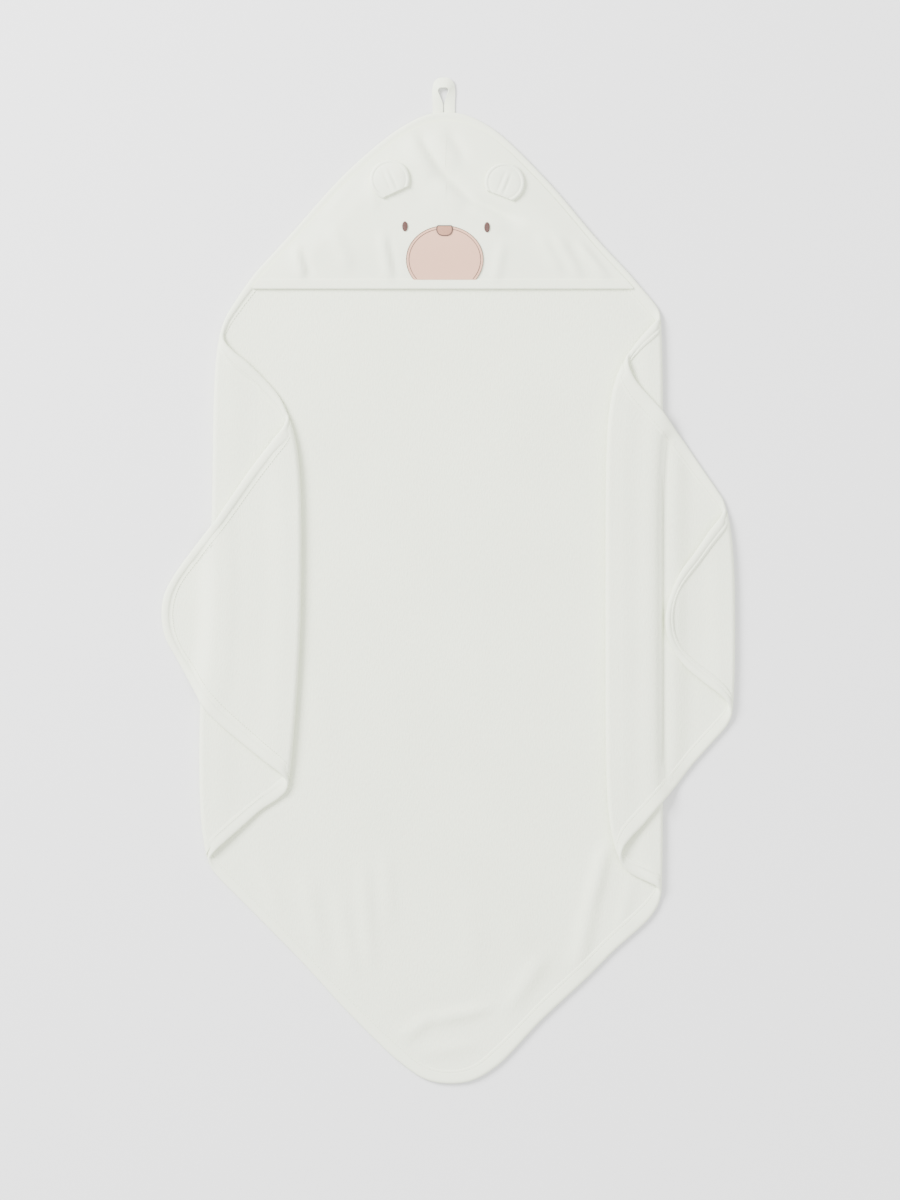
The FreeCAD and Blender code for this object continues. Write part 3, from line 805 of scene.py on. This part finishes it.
# %% [markdown]
# The hood is a smaller triangle of velour, sewn to the towel along two sides and open along the third, with
# a faced band at its mouth. From each seam it climbs to a low crown, and a few soft creases cross it. Its
# height is a function of the place on the page, so whatever is sewn on it can ask for the height and lie on
# it too.

# %% The hood's height
MOUTH = 316.5
HOOD_BAND = 10.0
HOOD_HALF = 1.2
HOOD_CREASES = [
    (-34, 486, 2, 428, 5, -4.2), (-6, 440, 32, 402, 6, -4.6), (24, 410, 80, 383, 6, -4.2),
    (-42, 476, -12, 424, 9, 3.0), (-14, 428, 20, 396, 9, 3.0), (14, 402, 66, 376, 9, 2.4),
    (-16, 478, 14, 440, 9, 2.0), (60, 388, 130, 360, 9, 1.6), (0, 484, 22, 446, 6, -2.4),
    (-78, 432, -72, 396, 4, 1.4), (-67, 376, -57, 322, 5, 3.0), (-60, 372, -50, 326, 4, -1.6),
    (58, 366, 50, 320, 5, 2.2), (-157, 366, -147, 324, 4, 3.4), (-149, 360, -138, 326, 4, -2.0),
    (-118, 380, -98, 334, 7, 2.2), (-92, 440, -128, 388, 8, 1.6), (112, 370, 140, 326, 5, 3.0),
    (134, 366, 168, 324, 5, 3.0), (94, 372, 120, 330, 6, 2.0), (-20, 400, -40, 440, 9, -1.0),
]
hood_columns = np.linspace(-258, 238, 600)
hood_outline = on_hem("top", hood_columns)
hood_outline = hood_outline[hood_outline[:, 1] > MOUTH - 3]


def seam_height(x):
    """How far up the page the hood's seam is at a place across it."""
    return np.interp(x, hood_outline[:, 0], hood_outline[:, 1])


def hood_middle(x, y):
    """The height of the hood's middle: up from the seam, a little lower at the mouth, and creased."""
    from_seam = np.maximum(seam_height(x) - y, 0) * 0.72
    crown = (1 - fade(from_seam, 34)) * (0.14 + 0.86 * (1 - fade(y - MOUTH, 52)))
    folds = sum(height * crease(x, y, *ends, width) for *ends, width, height in HOOD_CREASES)
    return 5.2 + 4.6 * crown + folds * (1 - fade(from_seam, 20)) * (1 - 0.7 * fade(y - MOUTH, 14))


HOOD_TUCK = 5.4
left_end = np.interp(MOUTH + 2, hood_outline[:100, 1], hood_outline[:100, 0]) + HOOD_TUCK
right_end = np.interp(-MOUTH - 2, -hood_outline[-100:, 1], hood_outline[-100:, 0]) - HOOD_TUCK
print(f"hood mouth from {left_end:.0f} to {right_end:.0f}")


def hood_grid(start, end, low, rows, top=None):
    """A grid over the hood between two places across it, from a low line up to the seam or a top line."""
    x = np.linspace(start, end, max(4, int(abs(end - start) / 3.5)))
    high = seam_height(x) - HOOD_TUCK * 1.35
    high = np.maximum(high if top is None else np.minimum(high, top), low + 0.5)
    y = low + (high - low) * np.linspace(0, 1, rows)[:, None]
    return together(x, y, hood_middle(x, y))


hood_sides = {"left": (left_end, 0.0, -1.0), "right": (0.0, right_end, 1.0)}


def blend_hood(piece):
    """Fixes a piece of the hood in place, its placing baked into its points."""
    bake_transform(piece)


hood_pieces = []
for side, (start, end, _) in hood_sides.items():
    points = hood_grid(start, end, MOUTH + 1.0, 60)
    panel = cloth(f"{side}_hood_panel", points, HOOD_HALF, velour, points[..., :2])
    strip = hood_grid(start, end, MOUTH, 14, MOUTH + HOOD_BAND)
    rim = np.abs(strip[..., 1] - MOUTH - 5.0) / 5.0
    fullness = HOOD_HALF + 0.55 - 0.4 * np.clip(rim, 0, 1) ** 6
    edge = cloth(f"{side}_hood_band", strip, fullness, velour, strip[..., :2] * 1.01)
    hood_pieces += [(panel, side), (edge, side)]
print("hood crown at", round(float(hood_middle(np.array(0.0), np.array(390.0))), 1), "mm")

# %% [markdown]
# An ear is two rounds of velour sewn together and turned, with one straight side caught in the hood. That
# leaves a soft roll round its edge, and a tuck pinched into its middle gives it a hollow. The front is a
# grid of rows from the seam to the tip, each as wide as the round there.

# %% Ears
EAR = 20.0
EAR_CENTRE = 14.0
EAR_TOP = EAR_CENTRE + EAR
ears = {"left": (-52.0, 415.5, 24.9), "right": (55.0, 412.0, -21.8)}


def ear_grid(across_steps, up_steps):
    """An ear's own flat grid: x across it from -1 to 1 of its width there, and y up from its straight
    side."""
    share = (1 - np.cos(np.linspace(0, np.pi, up_steps))) / 2
    up = share[:, None] * (EAR_TOP - 0.4)
    wide = np.sqrt(np.maximum(EAR**2 - (up - EAR_CENTRE) ** 2, 0.2))
    part = np.sin(np.linspace(-np.pi / 2, np.pi / 2, across_steps))
    return part * wide, np.broadcast_to(up, (up_steps, across_steps)), wide


def place_ear(side, x, y, z):
    """Turns an ear's own grid by its angle and lays it on the hood, a little above its crown."""
    base_x, base_y, turn = ears[side]
    cosine, sine = math.cos(math.radians(turn)), math.sin(math.radians(turn))
    page_x = base_x + x * cosine - y * sine
    page_y = base_y + x * sine + y * cosine
    return together(page_x, page_y, hood_middle(page_x, page_y) + HOOD_HALF + z)


ear_pieces = {}
for side in ears:
    x, y, wide = ear_grid(41, 37)
    to_edge = EAR - np.hypot(x, y - EAR_CENTRE)
    inner = np.clip(to_edge / 7, 0, 1)
    puff = 1.5 * np.sqrt(inner) + 0.8 * np.exp(-(((to_edge - 1.4) / 1.3) ** 2)) \
        - 0.45 * np.exp(-(((to_edge - 3.1) / 0.7) ** 2))
    tuck = np.exp(-(((y - 13) / 10) ** 4))
    puff = puff + tuck * (0.7 * np.exp(-((x / 2.2) ** 2)) - 1.1 * np.exp(-(((x - 3.2) / 1.1) ** 2))
                          - 1.1 * np.exp(-(((x + 3.2) / 1.1) ** 2)))
    front = place_ear(side, x, y, 1.9 + puff)
    back = place_ear(side, x, y, 0.95)
    flat = together(x, y)
    ear_pieces[side] = [
        cloth(f"{side}_ear_front_velour", front, 0.75, velour, flat),
        cloth(f"{side}_ear_back_velour", back, 0.7, velour, flat),
    ]
    ends = np.linspace(-1, 1, 25) * math.sqrt(EAR**2 - EAR_CENTRE**2)
    seam_line = place_ear(side, ends, 0.3, 1.2)
    round_seam = np.linspace(0, 2 * np.pi, 8, endpoint=False)
    ring = together(0.0, np.cos(round_seam), np.sin(round_seam))
    rings = seam_line[:, None] + 0.9 * ring
    ear_pieces[side].append(swept(f"{side}_ear_seam", rings[:, ::-1], velour))

# %% [markdown]
# The face: a beige muzzle patch held by two lines of brown stitching, a satin-stitch nose with a darker
# outline, and two small oval eyes. Each lies on the hood, so its height is the hood's height plus its own.
# The band at the hood's mouth covers the bottom of the muzzle, so the ellipse stops there.

# %% The face
MUZZLE = (-1.3, 346.0, 39.7, 34.7)
NOSE = (-1.5, 380.6, 8.0, 10.0)


def on_hood(x, y, lift):
    """Points on the page lifted that far off the hood's front."""
    return together(x, y, hood_middle(x, y) + HOOD_HALF + lift)


def sewn_on(name, x, y, lift, half, material):
    """A thin cloth over a grid of places on the hood, mapped by those places."""
    return cloth(name, on_hood(x, y, lift), half, material, together(x, y))


def tube(name, line, radius):
    """A round brown thread along a line on the hood. radius is a number, or one number a point."""
    ahead = unit(np.gradient(line, axis=0))
    beside = unit(np.cross(ahead, [0.0, 0.0, 1.0]))
    upward = np.cross(beside, ahead)
    angles = np.linspace(0, 2 * np.pi, 8, endpoint=False)
    ring = np.cos(angles)[:, None] * beside[:, None] + np.sin(angles)[:, None] * upward[:, None]
    size = np.broadcast_to(np.asarray(radius, float), len(line))[:, None, None]
    return swept(name, line[:, None] + size * ring, brown_thread)


x0, y0, wide, tall = MUZZLE
low = MOUTH + HOOD_BAND - 1.0
rise = np.sin(np.linspace(math.asin((low - y0) / tall), math.pi / 2 - 0.03, 48))[:, None]
half_width = wide * np.sqrt(1 - rise**2)
part = np.linspace(-1, 1, 61)
patch = sewn_on("muzzle_cloth_patch", x0 + half_width * part, y0 + tall * rise, 0.45, 0.4, muzzle_cloth)
face = [patch]
for name, inset in (("outer", 0.2), ("inner", 2.9)):
    start = math.asin((low + 0.8 - y0) / (tall - inset))
    angle = np.linspace(start, math.pi - start, 420)
    clear = (np.abs(np.cos(angle)) * wide > NOSE[2] - 0.4) | (np.sin(angle) < 0)
    ridge = 0.26 + 0.06 * np.abs(np.sin(angle * 62))
    for side, chosen in (("right", clear & (np.cos(angle) > 0)), ("left", clear & (np.cos(angle) < 0))):
        bend = angle[chosen]
        line = on_hood(x0 + (wide - inset) * np.cos(bend), y0 + (tall - inset) * np.sin(bend), 0.95)
        face.append(tube(f"{side}_muzzle_stitching_{name}", line, ridge[chosen]))

nose_x, nose_top, nose_wide, nose_deep = NOSE


def nose_half(depth):
    """Half the nose's width that share of the way down: nearly straight sides, and a round bottom."""
    return nose_wide * (0.9 + 0.1 * np.sin(np.pi * np.clip(depth * 1.3, 0, 1))) * (1 - depth**6) ** 0.42


depth = np.sin(np.linspace(0, np.pi / 2, 21))[:, None]
spread = np.linspace(-1, 1, 25)
grid_x = nose_x + nose_half(np.minimum(depth, 0.998)) * spread
grid_y = nose_top - nose_deep * depth
dome = 0.9 + 0.55 * np.sqrt(np.clip((1 - spread**2) * (1 - (2 * depth - 1) ** 4), 0, 1))
nose = sewn_on("nose_satin", grid_x[::-1], grid_y[::-1], dome[::-1], 0.5, nose_thread)
down = np.sin(np.linspace(0, np.pi / 2, 40))
side_x = nose_half(np.minimum(down, 1.0))
outline_x = np.concatenate([np.linspace(-1, 1, 24)[:-1] * side_x[0], side_x, -side_x[-2::-1]])
outline_y = np.concatenate([np.zeros(23), -nose_deep * down, -nose_deep * down[-2::-1]])
nose_line = on_hood(nose_x + outline_x, nose_top + outline_y, 1.25)
face += [nose, tube("nose_outline_thread", nose_line, 0.6)]

for side, eye_x, eye_y in (("left", -42.2, 380.0), ("right", 42.2, 379.0)):
    up = np.sin(np.linspace(-np.pi / 2 + 0.06, np.pi / 2 - 0.06, 21))[:, None]
    spread = np.linspace(-1, 1, 17)
    eye_grid_x = eye_x + 2.8 * np.sqrt(1 - up**2) * spread
    eye_grid_y = eye_y + 5.0 * up
    dome = 0.35 + 0.8 * np.sqrt(np.clip((1 - up**2) * (1 - 0.8 * spread**2), 0, 1))
    place = together(spread * 1000, up * 1000)
    face.append(cloth(f"{side}_eye_satin", on_hood(eye_grid_x, eye_grid_y, dome), 0.35, eye_thread, place))
print("face:", len(face), "pieces")

# %% [markdown]
# The hanging loop is a short ribbon sewn in at the top corner. Its two legs stand side by side and its
# crown bends over, so a small triangle opens between the legs. The ribbon is the surface between an outer
# and an inner line.

# %% Hanging loop
loop_low, loop_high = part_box("hanging_loop")
LOOP_Z = (loop_low.z + loop_high.z) / 2 / MM
outer_line = [(-13.6, 497, 0), (-13.8, 508, 0), (-14, 520, 0.4), (-12.4, 529, 1.2), (-8, 533.3, 1.8),
              (-2.5, 534, 2.0), (3, 533.3, 1.8), (7.4, 529, 1.2), (9.2, 520, 0.4), (9, 508, 0), (8.8, 497, 0)]
inner_line = [(-3.4, 497, 0.3), (-3.4, 507, 0.4), (-6.2, 515, 2.2), (-8.2, 521, 3.6), (-6.5, 523.2, 4.4),
              (-2.7, 523.6, 4.8), (1.0, 523.2, 4.4), (2.6, 521, 3.6), (0.4, 515, 2.2), (-1.8, 507, 0.4),
              (-1.6, 497, 0.3)]
outer = smooth_line(np.array(outer_line, float), (-13.6, 486, 0), (8.8, 486, 0), 12)
inner = smooth_line(np.array(inner_line, float), (-3.4, 486, 0.3), (-1.6, 486, 0.3), 12)
cross = np.linspace(0, 1, 13)[:, None, None]
ribbon = outer + (inner - outer) * cross
ribbon[..., 2] += LOOP_Z + 0.5 * np.sin(np.pi * cross[..., 0])
loop_map = together(cross[..., 0] * 10, np.linspace(0, 85, len(outer)))
loop = cloth("hanging_loop_ribbon", ribbon[::-1], 0.55, hem_cloth, loop_map[::-1])

# %% [markdown]
# Last, each piece is given to the frame. A slice of terry between two folds rides on its body, mapped by
# its place in the flat towel, and its hem goes with it. A fold's slice, the hood's halves and the loop are
# fixed in place.

# %% Riding, fixing and hiding
for name, start, end, holder in slices:
    parts = [panels[name], *hems[name]]
    for piece in parts:
        attach(piece, holder)
    if holder not in blends:
        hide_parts(f"{name}_panel")
        hem_nodes = ["lower_hem", "upper_hem"] if name == "body" else [f"{name}_hem"]
        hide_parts(*hem_nodes)

for piece, side in hood_pieces:
    blend_hood(piece)
    if piece.name.endswith("band"):
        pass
    else:
        x = np.linspace(*hood_sides[side][:2], 300)
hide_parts("hood_panel")
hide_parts("hood_edge_binding")

for side, (front, back, seam) in ear_pieces.items():
    for piece in (front, back, seam):
        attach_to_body(piece, f"{side}_ear")
    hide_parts(f"{side}_ear_front")
    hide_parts(f"{side}_ear_back")

face_nodes = {
    "muzzle_cloth_patch": ("muzzle_patch", "muzzle_cloth"), "nose_satin": ("nose", "nose_thread"),
    "nose_outline_thread": ("nose_outline", "brown_thread"), "left_eye_satin": ("left_eye", "eye_thread"),
    "right_eye_satin": ("right_eye", "eye_thread"),
}
for piece in face:
    node, slot = face_nodes.get(piece.name, ("muzzle_stitching", "brown_thread"))
    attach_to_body(piece, "hood")
    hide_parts(node)

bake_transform(loop)
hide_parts("hanging_loop")

# %% [markdown]
# The view is from straight above, on a plain pale floor under one wide soft light from the upper left and a
# weaker one that fills the shadows. The light has to be large: the towel's only drawing is its own soft
# shading, and a small lamp would burn it out.

# %% Floor
floor_mesh = bpy.data.meshes.new("studio_floor")
REACH = 6.0
floor_corners = [(-REACH, -REACH, 0), (REACH, -REACH, 0), (REACH, REACH, 0), (-REACH, REACH, 0)]
floor_mesh.from_pydata(floor_corners, [], [(0, 1, 2, 3)])
floor = bpy.data.objects.new("studio_floor", floor_mesh)
bpy.context.scene.collection.objects.link(floor)
floor_mesh.materials.append(shader("studio_grey", (0.76, 0.76, 0.765), 0.9)[0])


# %% Light and camera
def area_light(name, place, size, power):
    """A square light at a place, turned to face the origin."""
    lamp = bpy.data.lights.new(name, "AREA")
    lamp.shape = "SQUARE"
    lamp.size = size
    lamp.energy = power
    light = bpy.data.objects.new(name, lamp)
    bpy.context.scene.collection.objects.link(light)
    light.location = place
    yaw = math.atan2(place[1], place[0]) + math.pi / 2
    pitch = math.acos(place[2] / np.linalg.norm(place))
    light.rotation_euler = (pitch, 0, yaw)


area_light("key", (-2.7, 2.0, 2.6), 1.9, 590)
area_light("fill", (1.6, -0.8, 3.4), 3.0, 90)
world = bpy.data.worlds.new("studio")
bpy.context.scene.world = world
world.use_nodes = True
backdrop = world.node_tree.nodes["Background"]
backdrop.inputs["Color"].default_value = (1, 1, 1, 1)
backdrop.inputs["Strength"].default_value = 1.5

HEIGHT = 4.0
VIEW_TALL = 1.2372
VIEW_MIDDLE = (0.0041, -0.0041)
SENSOR = 24.0
camera_data = bpy.data.cameras.new("above")
camera_data.sensor_fit = "VERTICAL"
camera_data.sensor_height = SENSOR
camera_data.lens = SENSOR * HEIGHT / VIEW_TALL
camera = bpy.data.objects.new("above", camera_data)
bpy.context.scene.collection.objects.link(camera)
camera.location = (*VIEW_MIDDLE, HEIGHT)
bpy.context.scene.camera = camera
